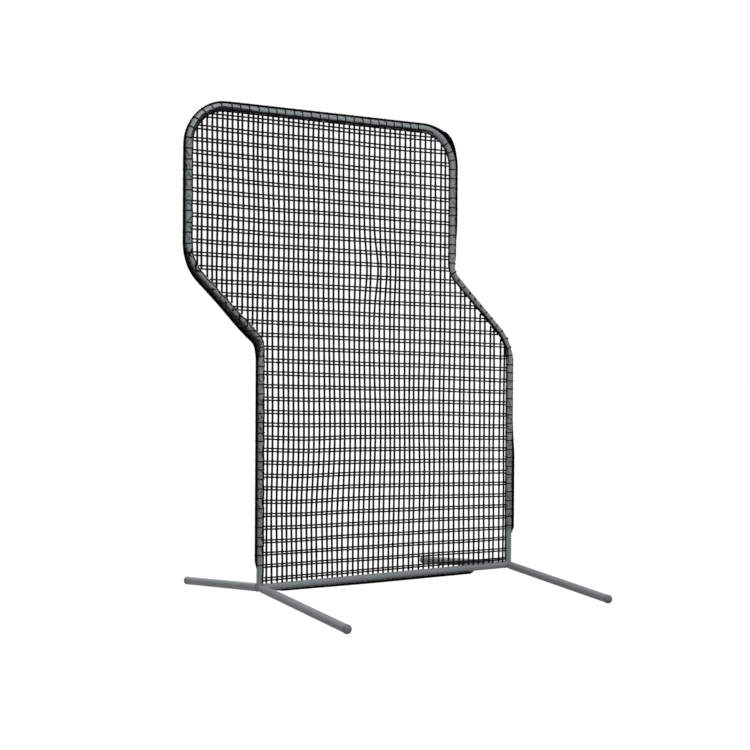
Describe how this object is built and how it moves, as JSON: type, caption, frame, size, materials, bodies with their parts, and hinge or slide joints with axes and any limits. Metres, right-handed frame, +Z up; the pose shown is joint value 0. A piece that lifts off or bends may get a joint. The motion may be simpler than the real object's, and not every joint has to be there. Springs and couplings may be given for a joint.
{
  "type": "baseball pitching screen",
  "caption": "Free-standing Z-shaped pitching screen: bent round-tube frame on slip-on legs, filled by a two-layer square-mesh net with a roped edge.",
  "frame": {"origin": "on the floor, under the middle of the bounding box", "axes": "+Z up, the screen stands in the XZ plane, +X to the right as seen from the front, +Y to the rear; the upper half is offset towards -X"},
  "size_m": [1.5398, 1.2784, 1.8957],
  "materials": {
    "coated_steel": "satin grey powder coat",
    "zinc": "zinc plated",
    "plug_plastic": "moulded, matte",
    "net_cord": "knotted twine, black",
    "hem_rope": "laid rope, black"
  },
  "bodies": {
    "frame": {"top_rail_tube": "coated_steel", "left_side_tube": "coated_steel", "right_side_tube": "coated_steel", "bottom_rail_tube": "coated_steel", "left_splice_sleeve": "zinc", "right_splice_sleeve": "zinc", "left_splice_rivet_lower": "zinc", "left_splice_rivet_upper": "zinc", "right_splice_rivet_lower": "zinc", "right_splice_rivet_upper": "zinc", "left_front_spigot": "coated_steel", "left_rear_spigot": "coated_steel", "right_front_spigot": "coated_steel", "right_rear_spigot": "coated_steel", "front_net_upper": "net_cord", "front_net_shoulder": "net_cord", "front_net_lower": "net_cord", "rear_net_upper": "net_cord", "rear_net_shoulder": "net_cord", "rear_net_lower": "net_cord", "net_edge_hem": "hem_rope", "net_bottom_hem": "hem_rope"},
    "left_front_leg": {"left_front_leg": "coated_steel", "left_front_leg_plug": "plug_plastic"},
    "left_rear_leg": {"left_rear_leg": "coated_steel", "left_rear_leg_plug": "plug_plastic"},
    "right_front_leg": {"right_front_leg": "coated_steel", "right_front_leg_plug": "plug_plastic"},
    "right_rear_leg": {"right_rear_leg": "coated_steel", "right_rear_leg_plug": "plug_plastic"}
  },
  "joints": [
    {"name": "left_front_leg_slide", "type": "slide", "parent": "frame", "child": "left_front_leg", "axis": [0, -0.9959, -0.0906], "range_m": [0, 0.14]},
    {"name": "left_rear_leg_slide", "type": "slide", "parent": "frame", "child": "left_rear_leg", "axis": [0, 0.9959, -0.0906], "range_m": [0, 0.14]},
    {"name": "right_front_leg_slide", "type": "slide", "parent": "frame", "child": "right_front_leg", "axis": [0, -0.9959, -0.0906], "range_m": [0, 0.14]},
    {"name": "right_rear_leg_slide", "type": "slide", "parent": "frame", "child": "right_rear_leg", "axis": [0, 0.9959, -0.0906], "range_m": [0, 0.14]}
  ]
}
